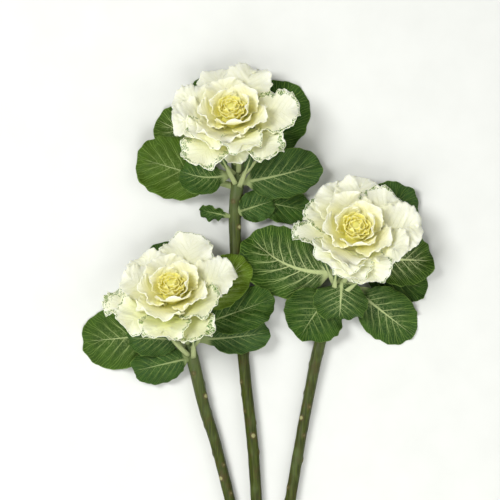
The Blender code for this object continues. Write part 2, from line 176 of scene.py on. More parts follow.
def scar_marks(stem):
    """Each scar's distance below the crown, its angle round the stem and its height."""
    return [
        (below + part * SCAR_STEP, number * GOLDEN_ANGLE + turned, height)
        for number, below in enumerate(np.arange(FIRST_SCAR, stem.length - LAST_SCAR, SCAR_STEP))
        for part, turned, height in SCARS
    ]


def scar_at(marks, below, turn):
    """How far the skin is raised there, and how much of it is scar, from 0 to 1."""
    raised = 0.0
    scarred = 0.0
    for place, angle, height in marks:
        along = (below - place) / SCAR_HALF_LENGTH
        if abs(along) < 3:
            away = math.remainder(turn - math.radians(angle), 2 * math.pi)
            strength = math.exp(-along * along - 4 * away * away)
            raised += height * strength
            scarred += strength * height / SCAR_HEIGHT
    return raised, min(1.0, scarred)


def stem_mesh(stem):
    """The stem as a tube along its centre line, closed by its cut face."""
    marks = scar_marks(stem)
    rounded = stem.length - CUT_ROUNDING
    rings = [*np.arange(0, rounded, RING_STEP), rounded, stem.length]
    bm = bmesh.new()
    bmesh.ops.create_grid(bm, x_segments=STEM_SIDES, y_segments=len(rings) - 1, size=1)
    scar = bm.verts.layers.float.new("scar")
    wax = bm.verts.layers.float.new("wax")
    ring_mark = bm.verts.layers.float.new("ring")
    for vertex in bm.verts:
        turn = math.pi * vertex.co.x
        below = rings[round((vertex.co.y + 1) / 2 * (len(rings) - 1))]
        ahead = stem.tangent(below)
        side = unit(np.cross(ahead, UP))
        raised, vertex[scar] = scar_at(marks, below, turn)
        vertex[wax] = math.exp(-((below / WAX_REACH) ** 2))
        vertex[ring_mark] = 1
        radius = stem.radius(below) + raised + RIDGE_HEIGHT * math.sin(RIDGES * turn + below / RIDGE_TWIST)
        spot = Vector((below / UNEVEN_LENGTH, 2 * math.cos(turn), 2 * math.sin(turn)))
        radius += UNEVENNESS * noise.noise(spot)
        if below == stem.length:
            radius -= CUT_ROUNDING
        outward = math.cos(turn) * side + math.sin(turn) * np.cross(side, ahead)
        point = stem.point(below) + radius * outward
        point[2] = max(point[2], 0)
        vertex.co = Vector(point * MM)
    bmesh.ops.remove_doubles(bm, verts=bm.verts, dist=1e-6)
    ends = bmesh.ops.holes_fill(bm, edges=bm.edges, sides=0)["faces"]
    cut_end = min(ends, key=lambda face: face.calc_center_median().y)
    for width, colour in CUT_RINGS:
        bmesh.ops.inset_region(bm, faces=[cut_end], thickness=width * MM, use_even_offset=True)
        for vertex in cut_end.verts:
            vertex[ring_mark] = colour
        cut_end.material_index = 1
        for edge in cut_end.edges:
            for face in edge.link_faces:
                face.material_index = 1
    bmesh.ops.recalc_face_normals(bm, faces=bm.faces)
    mesh = bpy.data.meshes.new("stem")
    bm.to_mesh(mesh)
    bm.free()
    return mesh


class Finish:
    """A material round one Principled shader, with short ways to add the nodes that feed it."""

    def __init__(self, name, values):
        self.material = bpy.data.materials.new(name)
        self.material.use_nodes = True
        self.tree = self.material.node_tree
        self.shader = self.tree.nodes["Principled BSDF"]
        for socket, value in values.items():
            self.shader.inputs[socket].default_value = value

    def feed(self, socket, value):
        if isinstance(value, bpy.types.NodeSocket):
            self.tree.links.new(value, socket)
        else:
            socket.default_value = value

    def node(self, kind, feeds, **settings):
        made = self.tree.nodes.new("ShaderNode" + kind)
        for name, value in settings.items():
            setattr(made, name, value)
        for key, value in feeds.items():
            self.feed(made.inputs[key], value)
        return made

    def into(self, socket, value):
        self.feed(self.shader.inputs[socket], value)

    def math(self, operation, a, b=0.5, c=0.5):
        return self.node("Math", {0: a, 1: b, 2: c}, operation=operation).outputs[0]

    def step(self, value, low, high):
        """0 at low, 1 at high, smooth between; high may be the lower of the two."""
        feeds = {"Value": value, "From Min": low, "From Max": high}
        return self.node("MapRange", feeds, interpolation_type="SMOOTHSTEP").outputs[0]

    def fade(self, value, low, high):
        """1 at low, 0 at high, smooth between."""
        return self.math("SUBTRACT", 1.0, self.step(value, low, high))

    def times(self, value, share):
        return self.math("MULTIPLY", value, share)

    def strongest(self, *masks):
        """The highest of some masks, each times its own share."""
        found = 0.0
        for mask, share in masks:
            found = self.math("MAXIMUM", found, self.times(mask, share))
        return found

    def total(self, *masks):
        """The sum of some masks, each times its own share."""
        found = 0.0
        for mask, share in masks:
            found = self.math("MULTIPLY_ADD", mask, share, found)
        return found

    def mix(self, factor, a, b):
        feeds = {0: factor, 6: a, 7: b}
        return self.node("Mix", feeds, data_type="RGBA", clamp_factor=True).outputs[2]

    def noise(self, where, scale, detail=3.0, roughness=0.5):
        feeds = {"Vector": where, "Scale": scale, "Detail": detail, "Roughness": roughness}
        return self.node("TexNoise", feeds).outputs[0]

    def edges(self, where, scale):
        """How far a point is from the nearest border of a net of cells."""
        feeds = {"Vector": where, "Scale": scale}
        return self.node("TexVoronoi", feeds, feature="DISTANCE_TO_EDGE").outputs[0]

    def attribute(self, name):
        return self.node("Attribute", {}, attribute_name=name).outputs["Fac"]

    def place(self):
        return self.node("TexCoord", {}).outputs["Object"]

    def uv(self, name):
        return self.node("UVMap", {}, uv_map=name).outputs[0]

    def bump(self, height, distance, strength=1.0):
        feeds = {"Height": height, "Distance": distance, "Strength": strength}
        self.into("Normal", self.node("Bump", feeds).outputs[0])


STEM_OLIVE = (0.050, 0.068, 0.005, 1)
STEM_SHADE = (0.024, 0.032, 0.003, 1)
STEM_BROWN = (0.055, 0.036, 0.010, 1)
STEM_WAX = (0.16, 0.225, 0.085, 1)
SCAR_PALE = (0.32, 0.32, 0.14, 1)
SCAR_RIM = (0.070, 0.050, 0.014, 1)
CUT_SKIN = (0.09, 0.14, 0.04, 1)
CUT_WOOD = (0.45, 0.50, 0.26, 1)
CUT_PITH = (0.62, 0.66, 0.44, 1)


def stem_finish():
    """Waxy skin with fine lengthwise streaks, a grey bloom under the head and pale, brown-rimmed scars."""
    skin = Finish("stem_skin", {"Specular IOR Level": 0.2})
    place = skin.place()
    along = skin.node("Mapping", {"Vector": place, "Scale": (900.0, 60.0, 900.0)}).outputs[0]
    streaks = skin.noise(along, 1.0, 4.0)
    patches = skin.noise(place, 55.0)
    colour = skin.mix(skin.step(streaks, 0.35, 0.7), STEM_SHADE, STEM_OLIVE)
    colour = skin.mix(skin.times(skin.step(patches, 0.5, 0.75), 0.2), colour, STEM_WAX)
    blush = skin.step(skin.noise(place, 130.0, 5.0), 0.5, 0.72)
    colour = skin.mix(skin.times(blush, 0.55), colour, STEM_BROWN)
    colour = skin.mix(skin.attribute("wax"), colour, STEM_WAX)
    scar = skin.math("MULTIPLY_ADD", streaks, 0.3, skin.math("SUBTRACT", skin.attribute("scar"), 0.15))
    colour = skin.mix(skin.times(skin.step(scar, 0.12, 0.4), 0.7), colour, SCAR_RIM)
    colour = skin.mix(skin.times(skin.step(scar, 0.45, 0.75), 0.75), colour, SCAR_PALE)
    skin.into("Base Color", colour)
    skin.into("Roughness", skin.math("MULTIPLY_ADD", patches, 0.25, 0.36))
    skin.bump(skin.math("ADD", streaks, skin.noise(place, 700.0)), 0.00012, 0.6)
    return skin.material


def cut_finish():
    """The freshly cut end: green skin, a ring of pale wood and paler pith."""
    cut = Finish("cut_face", {"Roughness": 0.6})
    ring = cut.attribute("ring")
    grain = cut.noise(cut.place(), 900.0)
    colour = cut.mix(cut.step(ring, 0.2, 0.55), CUT_PITH, CUT_WOOD)
    colour = cut.mix(cut.step(ring, 0.75, 1.0), colour, CUT_SKIN)
    cut.into("Base Color", cut.mix(cut.times(grain, 0.3), colour, CUT_WOOD))
    cut.bump(grain, 0.0002)
    return cut.material


def show(name, mesh, node, slot, *materials):
    """Put a finished mesh in the scene, in the place of its CAD node."""
    thing = bpy.data.objects.new(name, mesh)
    bpy.context.scene.collection.objects.link(thing)
    for material in materials:
        mesh.materials.append(material)
    mesh.shade_smooth()
    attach(thing, "root")
    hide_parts(node)
    return thing


def tree_of(thing):
    """A search tree of an object's faces, in millimetres."""
    points = [vertex.co / MM for vertex in thing.data.vertices]
    return BVHTree.FromPolygons(points, [face.vertices[:] for face in thing.data.polygons])


stem_skin = stem_finish()
cut_face = cut_finish()
laid = {}
for head, stem in STEMS.items():
    tube = show(head + "_waxy_stem", stem_mesh(stem), head + "_stem", "stem", stem_skin, cut_face)
    laid[head + "_stem"] = tree_of(tube)

# Green leaves
# Each leaf is a broad, thick blade on a pale fleshy stalk that runs on as its midrib. Pale side veins
# fan out from the midrib, and the blade is puffed up between them. It grows from the stem's neck.

# The outline: the share of it that is blade, the rest being stalk, and the turn where the blade ends
LEAF_SHARE = 0.72
LAST_ANGLE = math.radians(160)
OUTLINE_FULLNESS = 0.85
MIDRIB_STEPS = 65
RIB_REACH = 0.72
BLADE_THICK = 0.7
SIDE_VEINS = 9.0
VEIN_SLANT = 0.5
FRILLS = 17.0

# How a leaf is laid: first as on the CAD leaf, at a few points, and then on its fine grid
CLEARANCE = 1.2
FEELER = 5.5
FEELER_STEP = 45
HIGH_ABOVE = 300.0
STIFFNESS = 0.6
SOLID_ROUNDS = 3
SOLID_COLUMNS = 14
SOLID_LEVELS = (0, 0.12, 0.56, 1)
TOUCHING = 0.6
LEAF_STIFFNESS = 0.86
LEAF_ROUNDS = 8
LEAF_COLUMNS = 104
LEAF_ROWS = 20

# The heights of a leaf's relief, from stalk to rim, and the depths of its outline's lobes, as a share
STALK_CROWN = 1.1
LEAF_PUFF = 1.0
LEAF_SWELL = 6.5
LEAF_WAVE = 2.4
LEAF_CRINKLE = 0.8
LEAF_FRILL = 0.4
LEAF_LOBES = 0.018
LEAF_NOTCHES = 0.005


class Blade:
    """A leaf or petal: its midrib as a curve from foot to tip, and the way that its upper face looks.

    Its outline runs once round with around from -1 to 1, and out goes from the midrib to the edge, so
    that a side vein is a line of one value of around.
    """

    def __init__(self, foot, tip, face, width, rise=0.0, swing=0.0, petiole=0.3, curl=0.0, wave=3.0,
                 waves=4.0, phase=0.0, stalk=3.0, rib=3.2, blade_share=LEAF_SHARE):
        self.foot = np.asarray(foot, float)
        self.tip = np.asarray(tip, float)
        self.face = unit(face)
        chord = self.tip - self.foot
        side = unit(np.cross(chord, self.face))
        self.knee = self.foot + 0.5 * chord + rise * np.cross(side, unit(chord)) + swing * side
        self.width = width
        self.petiole = petiole
        self.curl = math.radians(curl)
        self.ripple = (wave, waves, phase)
        self.stalk = stalk
        self.rib = rib
        self.blade_share = blade_share
        self.share = np.linspace(0, 1, MIDRIB_STEPS)
        line = self.along(self.share)
        self.reach = np.append(0, np.cumsum(np.linalg.norm(np.diff(line, axis=0), axis=1)))
        self.length = self.reach[-1]

    def along(self, t):
        t = np.asarray(t)[:, None]
        return (1 - t) ** 2 * self.foot + 2 * t * (1 - t) * self.knee + t**2 * self.tip

    def heading(self, t):
        t = np.asarray(t)[:, None]
        slope = 2 * (1 - t) * (self.knee - self.foot) + 2 * t * (self.tip - self.knee)
        return slope / np.linalg.norm(slope, axis=1, keepdims=True)

    def down_the_stalk(self, around):
        """0 on the blade, rising to 1 at the foot of the stalk."""
        return np.clip((np.abs(around) - self.blade_share) / (1 - self.blade_share), 0, 1)

    def pressed(self, around, out):
        """Where a point lies on the leaf pressed flat, across and along, with its angle on the outline."""
        turn = np.clip(np.abs(around) / self.blade_share, 0, 1) * LAST_ANGLE
        down = self.down_the_stalk(around)
        start = self.petiole * self.length
        rise = (self.length - start) * (1 + np.cos(turn)) / 2
        taper = np.clip(2 * down, 0, 1)
        taper = taper * taper * (3 - 2 * taper)
        edge = self.width / 2 * np.sin(turn) ** OUTLINE_FULLNESS * (1 - taper) + self.stalk * taper
        rib_end = (start + RIB_REACH * rise) * (1 - down)
        edge_end = (start + rise) * (1 - down)
        return np.sign(around) * out * edge, rib_end + out * (edge_end - rib_end), turn * np.sign(around)

    def surface(self, around, out, relief=0.0):
        """Points of the upper face, raised by the relief."""
        across, along, turn = self.pressed(around, out)
        t = np.interp(along, self.reach, self.share)
        ahead = self.heading(t)
        side = np.cross(ahead, self.face)
        side /= np.linalg.norm(side, axis=1, keepdims=True)
        normal = np.cross(side, ahead)
        bend = max(abs(self.curl), 0.01) * 2 / self.width
        lift = (1 - np.cos(bend * across)) / bend * math.copysign(1, self.curl)
        wave, waves, phase = self.ripple
        fade = np.clip(5 - 5 * np.abs(around) / self.blade_share, 0, 1)
        lift = lift + fade * wave * out**2 * np.sin(waves * turn + phase) + relief
        return self.along(t) + (np.sin(bend * across) / bend)[:, None] * side + lift[:, None] * normal

    def thickness(self, around, out):
        """A stout half-round stalk that runs on as a thinning midrib under a thin blade."""
        _, along, _ = self.pressed(around, out)
        rib = BLADE_THICK + (self.rib - BLADE_THICK) * np.clip(1 - along / (0.95 * self.length), 0, 1)
        on_stalk = self.down_the_stalk(around) > 0.3
        fade = np.where(on_stalk, np.sqrt(1 - 0.8 * out**2), np.clip(1 - 10 * out, 0, 1))
        return BLADE_THICK + (rib - BLADE_THICK) * fade


def height_at(trees, spots, passed):
    """The height of the highest thing at any of the spots, apart from a stem that arches over."""
    found = -math.inf
    for name, tree in trees.items():
        if name != passed:
            for x, y in spots:
                hit = tree.ray_cast(Vector((x, y, HIGH_ABOVE)), Vector((0, 0, -1)))[0]
                found = max(found, hit.z if hit else found)
    return found


def spots_near(x, y):
    """A place and a ring of places round it."""
    turns = np.radians(np.arange(0, 360, FEELER_STEP))
    return [(x, y)] + [(x + FEELER * math.cos(a), y + FEELER * math.sin(a)) for a in turns]


def spread_lift(lift, rounds, share):
    """A stiff blade rises round a spot that is lifted, and alike on both sides of its midrib."""
    for _ in range(rounds):
        lift[0] = np.maximum(lift[0], lift[0, ::-1])
        grown = lift.copy()
        grown[1:] = np.maximum(grown[1:], share * lift[:-1])
        grown[:-1] = np.maximum(grown[:-1], share * lift[1:])
        grown[:, 1:] = np.maximum(grown[:, 1:], share * lift[:, :-1])
        grown[:, :-1] = np.maximum(grown[:, :-1], share * lift[:, 1:])
        lift = grown
    lift[0] = np.maximum(lift[0], lift[0, ::-1])
    return lift


def solid_lift(blade, columns, levels, solids, passed):
    """How far the blade's few main points are lifted off the solids under it, as on the CAD leaf."""
    around, out = np.meshgrid(np.linspace(-1, 1, columns + 1), levels)
    flat = (around.ravel(), out.ravel())
    points = blade.surface(*flat)
    thick = blade.thickness(*flat)
    under = np.array([height_at(solids, spots_near(x, y), passed) for x, y, _ in points])
    free = 1 - blade.down_the_stalk(around)
    lift = np.maximum(0, under + CLEARANCE + thick - points[:, 2]).reshape(around.shape)
    return spread_lift(lift * free, SOLID_ROUNDS, STIFFNESS) * free


def finer_grid(values, levels, around, out):
    """Values on the few main points, read at every point of a fine grid."""
    few = np.linspace(-1, 1, values.shape[1])
    rows = np.array([np.interp(around[0], few, row) for row in values])
    return np.array([np.interp(out[:, 0], levels, column) for column in rows.T]).T


def rough(points, scale, seed):
    """Smooth random numbers, about -1 to 1, that change over a distance of scale."""
    return np.array([noise.noise(Vector((x / scale, y / scale, seed))) for x, y in points])


def vein_lane(around, out):
    """Which side vein a point is next to: they fan out, and those of one side end between the other's."""
    return np.abs(around) * (1 + VEIN_SLANT * out) + 0.5 / SIDE_VEINS * (around < 0)


def leaf_relief(blade, around, out, seed):
    """The puffed blade between its side veins, the crown of its stalk and the unevenness of its rim."""
    across, along, turn = blade.pressed(around, out)
    down = blade.down_the_stalk(around)
    blade_only = (1 - down) * np.clip(2 * (1 - np.abs(around)), 0, 1)
    between = np.abs(np.sin(math.pi * SIDE_VEINS * vein_lane(around, out))) ** 0.7 - 0.6
    belly = 2.8 * out * (1 - 0.7 * out)
    flat = np.column_stack((across, along))
    relief = LEAF_PUFF * between * belly * blade_only
    relief += LEAF_SWELL * out**1.5 * rough(flat, 20, seed) * blade_only
    relief += LEAF_WAVE * out**3 * np.sin(8 * turn + 2 * seed + 3 * rough(flat, 25, seed + 5)) * blade_only
    relief += LEAF_CRINKLE * out * rough(flat, 5, seed + 9) * blade_only
    relief += LEAF_FRILL * out**6 * np.sin(21 * turn + seed) * blade_only
    return relief + STALK_CROWN * (1 - out**2) * np.clip(3 * down, 0, 1)


def scalloped(blade, around, out, seed, lobe, notch):
    """The outline, very slightly lobed where each side vein ends, with fine notches."""
    turn = np.clip(np.abs(around) / blade.blade_share, 0, 1) * LAST_ANGLE
    lobes = np.sin(2 * math.pi * SIDE_VEINS * around + seed) + 0.7 * np.sin(13 * turn + 2 * seed)
    notches = np.sin(2 * math.pi * FRILLS * around + 3 * np.sin(6 * turn + seed))
    grown = lobe * out**3 * (lobes - 0.6) + notch * out**6 * notches
    return out * (1 + grown * (1 - blade.down_the_stalk(around)))


def settled(blade, around, points, thick, trees, passed, rounds, share, most=math.inf):
    """Lifted once more, by no more than most, where the fine surface would cut into what is under it."""
    under = np.array([height_at(trees, [(x, y)], passed) for x, y, _ in points])
    free = 1 - blade.down_the_stalk(around)
    push = np.clip(under + TOUCHING + thick - points[:, 2], 0, most).reshape(around.shape)
    push = spread_lift(push * free, rounds, share) * free
    points[:, 2] += push.ravel()
    return points


# What a finish reads at each point: how far up the blade and down its stalk it is, then three values
# of the whole blade
TRAITS = ("reach", "stalk", "tone", "rank", "speckle")
STOUTEST = 3.4


def new_sheet():
    """An empty mesh with the layers that blades need."""
    bm = bmesh.new()
    bm.loops.layers.uv.new("veins")
    bm.loops.layers.uv.new("pressed")
    for trait in TRAITS:
        bm.verts.layers.float.new(trait)
    bm.verts.layers.deform.verify()
    return bm


def add_blade(bm, blade, around, out, points, thick, tone=0.0, rank=0.0, speckle=0.0):
    """One blade as a grid, joined down its midrib, with what its finish and its thickness need."""
    rows, columns = (count - 1 for count in around.shape)
    verts = bmesh.ops.create_grid(bm, x_segments=columns, y_segments=rows, size=1)["verts"]
    veins = bm.loops.layers.uv["veins"]
    pressed = bm.loops.layers.uv["pressed"]
    group = bm.verts.layers.deform.verify()
    flat_around = around.ravel()
    flat_out = out.ravel()
    across, along, _ = blade.pressed(flat_around, flat_out)
    tone = np.broadcast_to(tone, across.shape)
    reach = along / blade.length
    stalk = blade.down_the_stalk(flat_around)
    for vertex in verts:
        column = round((vertex.co.x + 1) / 2 * columns)
        k = round((vertex.co.y + 1) / 2 * rows) * (columns + 1) + column
        for loop in vertex.link_loops:
            loop[veins].uv = (flat_around[k], flat_out[k])
            loop[pressed].uv = (across[k] / 10, along[k] / 10)
        for trait, value in zip(TRAITS, (reach[k], stalk[k], tone[k], rank, speckle)):
            vertex[bm.verts.layers.float[trait]] = value
        vertex[group][0] = thick[k] / STOUTEST
        vertex.co = Vector(points[k] * MM)
    bmesh.ops.remove_doubles(bm, verts=verts, dist=1e-6)


def sheet_mesh(name, bm):
    mesh = bpy.data.meshes.new(name)
    bm.to_mesh(mesh)
    bm.free()
    return mesh


def give_thickness(thing):
    """A rind below the modelled upper face, as thick as its vertex weights say."""
    thing.vertex_groups.new(name="thick")
    rind = thing.modifiers.new("rind", "SOLIDIFY")
    rind.thickness = STOUTEST * MM
    rind.offset = -1
    rind.vertex_group = "thick"
    rind.material_offset = 1
    rind.material_offset_rim = 0


LEAF_DEEP = (0.009, 0.035, 0.002, 1)
LEAF_GREEN = (0.025, 0.072, 0.004, 1)
LEAF_LIME = (0.075, 0.125, 0.002, 1)
LEAF_BLUE = (0.035, 0.082, 0.026, 1)
LEAF_VEIN = (0.20, 0.31, 0.06, 1)
LEAF_CREAM = (0.58, 0.65, 0.31, 1)
LEAF_STALK = (0.28, 0.35, 0.14, 1)
UNDER_DEEP = (0.055, 0.110, 0.050, 1)
UNDER_GREEN = (0.085, 0.155, 0.075, 1)


def vein_lines(leaf, wander):
    """The masks of main side veins, their forks, and the coarse and fine net between them."""
    parts = leaf.node("SeparateXYZ", {0: leaf.uv("veins")}).outputs
    pressed = leaf.uv("pressed")
    out = parts["Y"]
    sway = leaf.math("SUBTRACT", leaf.noise(pressed, 0.9, 2.0), 0.5)
    slanted = leaf.math("MULTIPLY_ADD", out, VEIN_SLANT, 1.0)
    lane = leaf.times(leaf.math("ABSOLUTE", parts["X"]), slanted)
    lane = leaf.times(leaf.math("ADD", lane, leaf.times(sway, leaf.times(out, wander))), SIDE_VEINS)
    lane = leaf.math("ADD", lane, leaf.times(leaf.math("LESS_THAN", parts["X"], 0.0), 0.5))
    across_lane = leaf.math("FRACT", leaf.math("ADD", lane, 0.5))
    nearest = leaf.math("ABSOLUTE", leaf.math("SUBTRACT", across_lane, 0.5))
    width = leaf.math("MULTIPLY_ADD", out, -0.02, 0.066)
    main = leaf.fade(nearest, leaf.times(width, 0.35), width)
    parting = leaf.times(leaf.step(out, 0.1, 0.95), 0.33)
    fork = leaf.fade(leaf.math("ABSOLUTE", leaf.math("SUBTRACT", nearest, parting)), 0.01, 0.05)
    shift = leaf.node("TexNoise", {"Vector": pressed, "Scale": 2.5}).outputs[1]
    bent = leaf.node("VectorMath", {0: pressed, 1: shift}).outputs[0]
    net = leaf.fade(leaf.edges(bent, 2.6), 0.02, 0.11)
    fine_net = leaf.fade(leaf.edges(bent, 7.0), 0.02, 0.16)
    return out, pressed, main, fork, net, fine_net


def leaf_finish(name, deep, green, rib_width, sunk):
    """Dull waxy green, darker and lighter in patches, with pale veins and a thin pale rim.

    On green leaves the attribute rank says how cream the veins are.
    """
    leaf = Finish(name, {"Specular IOR Level": 0.13})
    out, pressed, main, fork, net, fine_net = vein_lines(leaf, 0.10)
    bright = leaf.attribute("rank")
    across = leaf.math("ABSOLUTE", leaf.node("SeparateXYZ", {0: pressed}).outputs["X"])
    reach = leaf.attribute("reach")
    tone = leaf.attribute("tone")
    patches = leaf.noise(pressed, 0.55, 3.0)
    colour = leaf.mix(leaf.step(patches, 0.3, 0.7), deep, green)
    colour = leaf.mix(leaf.math("MAXIMUM", tone, 0.0), colour, LEAF_LIME)
    colour = leaf.mix(leaf.math("MAXIMUM", leaf.times(tone, -1.0), 0.0), colour, LEAF_BLUE)
    bloom = leaf.times(leaf.step(leaf.noise(pressed, 1.6, 4.0), 0.45, 0.8), 0.22)
    colour = leaf.mix(bloom, colour, LEAF_BLUE)
    rib_edge = leaf.times(leaf.math("POWER", leaf.math("SUBTRACT", 1.02, reach), 1.4), rib_width)
    rib_edge = leaf.times(rib_edge, leaf.math("MULTIPLY_ADD", bright, 1.3, 0.9))
    rib = leaf.fade(across, leaf.times(rib_edge, 0.4), rib_edge)
    net_strength = leaf.math("MULTIPLY_ADD", leaf.fade(out, 0.0, 0.5), 0.25, 0.14)
    main_strength = leaf.math("MULTIPLY_ADD", out, -0.4, 1.0)
    lines = leaf.strongest((main, main_strength), (fork, 0.5), (net, net_strength), (fine_net, 0.05))
    lines = leaf.times(lines, leaf.math("MULTIPLY_ADD", bright, 0.35, 0.65))
    lines = leaf.strongest((lines, 1.0), (leaf.step(out, 0.965, 0.995), 0.5))
    inner = leaf.math("SUBTRACT", 1.15, leaf.math("ADD", leaf.times(reach, 0.5), out))
    vein = leaf.mix(leaf.times(inner, leaf.math("ADD", bright, 0.25)), LEAF_VEIN, LEAF_CREAM)
    colour = leaf.mix(lines, colour, vein)
    pale = leaf.math("MAXIMUM", rib, leaf.step(leaf.attribute("stalk"), 0.0, 0.25))
    stalk = leaf.mix(leaf.times(bright, 0.7), LEAF_STALK, LEAF_CREAM)
    leaf.into("Base Color", leaf.mix(leaf.times(pale, 0.9), colour, stalk))
    leaf.into("Roughness", leaf.math("MULTIPLY_ADD", patches, 0.25, 0.36))
    relief = leaf.total((main, 0.9), (fork, 0.6), (net, 0.5), (fine_net, 0.22))
    leaf.bump(leaf.times(relief, -1.0 if sunk else 1.0), 0.0004, 0.8)
    return leaf.material


# From the lowest leaf up: stem, distance of its foot below the crown, shape, tone from bluish -1 to
# yellow-green 1, and how cream its veins are
LEAVES = {
    "left_leaf_top": ("left", 34, dict(tip=(-84, 90, 1), width=42, rise=-5, wave=1), -0.2, 0.3),
    # This leaf's lime tone and cream veins are partly its own paler colour and partly painted light,
    # lightening it where the head above shades it
    "tall_leaf_left_upper": (
        "tall", 38, dict(tip=(-87, 196, 2), width=50, rise=-3, wave=1.5, petiole=0.25), 0.3, 1.2,
    ),
    "tall_leaf_top": ("tall", 28, dict(tip=(-49, 233, 3), width=40, rise=-2, wave=1), -0.1, 0.3),
    "tall_leaf_right_back": ("tall", 50, dict(tip=(30, 227, -3), width=58, swing=5, wave=1.5), 0.0, 0.1),
    "right_leaf_top": ("right", 16, dict(tip=(132, 136, 5), width=48, rise=3, curl=-8, phase=1), -0.3, 0.0),
    "right_leaf_side_low": ("right", 32, dict(tip=(147, 50, -2), width=38, rise=-2, curl=8), 0.0, 0.1),
    "tall_leaf_right_low": ("tall", 70, dict(tip=(46, 117, 2), width=30, rise=-4, wave=1.5), 0.0, 0.0),
    "right_leaf_left_large": (
        "right", 37, dict(tip=(-7, 97, 3), width=60, swing=-25, rise=3, curl=8, petiole=0.2), 0.05, 0.9,
    ),
    "right_leaf_side": ("right", 24, dict(tip=(151, 74, 8), width=46, rise=4, curl=10), 0.1, 1.5),
    "right_leaf_front_right": (
        "right", 44, dict(tip=(134, 10, -3), width=46, rise=4, curl=-12), -0.1, 0.6,
    ),
    "right_leaf_front_left": (
        "right", 50, dict(tip=(37, 8, 2), width=54, swing=4, rise=8, curl=-14, petiole=0.22, phase=2),
        0.0, 0.2,
    ),
    "right_leaf_front": (
        "right", 40, dict(tip=(70, 23, 19), width=48, rise=15, curl=-10, petiole=0.25), -0.15, 0.7,
    ),
    "tall_leaf_right_small": (
        "tall", 84, dict(tip=(14, 126, 8), width=28, petiole=0.14, wave=1), -0.3, 0.1,
    ),
    "tall_leaf_right_long": (
        "tall", 58, dict(tip=(54, 158, 12), width=42, swing=4, rise=8, curl=14, petiole=0.16), -0.3, 0.3,
    ),
    "tall_leaf_left_large": (
        "tall", 62, dict(tip=(-104, 163, 12), width=54, rise=6, curl=12, petiole=0.28), 0.35, 0.2,
    ),
    "tall_leaf_left_small": (
        "tall", 88, dict(tip=(-50, 118, 10), face=(0, -0.5, 0.86), width=15, wave=1, stalk=2, rib=2),
        -0.2, 0.0,
    ),
    "tall_leaf_left_cupped": (
        "tall", 47, dict(tip=(-66, 151, 25), width=32, swing=-12, rise=9, curl=25, petiole=0.35, wave=1.5),
        -0.1, 0.3,
    ),
    "left_leaf_left_large": (
        "left", 38, dict(tip=(-151, 4, -3), width=54, curl=8, phase=2, petiole=0.32), 0.15, 0.4,
    ),
    "left_leaf_front_low": (
        "left", 61, dict(tip=(-107, -21, 4), width=34, rise=9, curl=-25, petiole=0.14), -0.2, 0.0,
    ),
    "left_leaf_front": (
        "left", 44, dict(tip=(-111, 8, 17), width=32, rise=10, curl=-15, petiole=0.16), -0.2, 0.3,
    ),
    "left_leaf_right_front": (
        "left", 45, dict(tip=(11, 13, 15), width=30, swing=3, rise=8, curl=10), -0.5, 0.2,
    ),
    "left_leaf_right_side": (
        "left", 37, dict(tip=(14, 42, 17), width=38, rise=8, curl=8, phase=3), 0.0, 0.1,
    ),
    "left_leaf_right_upper": (
        "left", 28, dict(tip=(-9, 75, 20), width=40, rise=8, curl=10, phase=1), 0.9, 1.0,
    ),
}
# These pass under their own stem where it arches up to its head
UNDER_THE_NECK = (
    "left_leaf_top", "tall_leaf_top", "tall_leaf_left_upper", "tall_leaf_right_back", "right_leaf_top",
)


def leaf_sheet(name, solids, trees):
    """The upper face of one green leaf, lying on what is under it."""
    head, below, shape, tone, bright = LEAVES[name]
    blade = Blade(foot=STEMS[head].point(below), **({"face": UP} | shape))
    passed = head + "_stem" if name in UNDER_THE_NECK else None
    seed = 3.7 * len(trees)
    around, out = np.meshgrid(np.linspace(-1, 1, LEAF_COLUMNS + 1), np.linspace(0, 1, LEAF_ROWS + 1))
    lift = solid_lift(blade, SOLID_COLUMNS, SOLID_LEVELS, solids, passed)
    lift = finer_grid(lift, SOLID_LEVELS, around, out).ravel()
    flat = (around.ravel(), out.ravel())
    spread = scalloped(blade, *flat, seed, LEAF_LOBES, LEAF_NOTCHES)
    points = blade.surface(around.ravel(), spread, leaf_relief(blade, *flat, seed))
    thick = blade.thickness(*flat)
    points[:, 2] = np.maximum(points[:, 2] + lift, thick)
    points = settled(blade, around, points, thick, trees, passed, LEAF_ROUNDS, LEAF_STIFFNESS)
    bm = new_sheet()
    add_blade(bm, blade, around, out, points, thick, tone=tone, rank=bright)
    return sheet_mesh(name + "_blade", bm)


leaf_top = leaf_finish("leaf_upper_face", LEAF_DEEP, LEAF_GREEN, 0.17, True)
leaf_under = leaf_finish("leaf_underside", UNDER_DEEP, UNDER_GREEN, 0.26, False)
solids = {head + "_stem": tree_of(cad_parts[head + "_stem"]) for head in STEMS}
for name in LEAVES:
    leaf = show(name + "_blade", leaf_sheet(name, solids, laid), name, "green_leaf", leaf_top, leaf_under)
    laid[name] = tree_of(leaf)
    solids[name] = tree_of(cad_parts[name])
    give_thickness(leaf)

# Leaf bases
# Under each head the neck is crowded with the short, pale, fleshy stalks of its lowest small leaves,
# which end in a curled scrap of blade. They are soft plant tissue and grow straight from the stem.

BASE_COLUMNS = 40
BASE_ROWS = 6
FOOT_OUT = 2.5
FOOT_UP = 2.0

# Angle round the head, distance of the foot below its crown, radius and height of the tip, width
LEAF_BASES = [
    (212, 50, 30, -7, 6), (236, 58, 24, -9, 8), (252, 40, 20, -9, 12), (280, 47, 22, -8, 10),
    (300, 60, 30, -9, 7), (325, 52, 36, -5, 6),
]


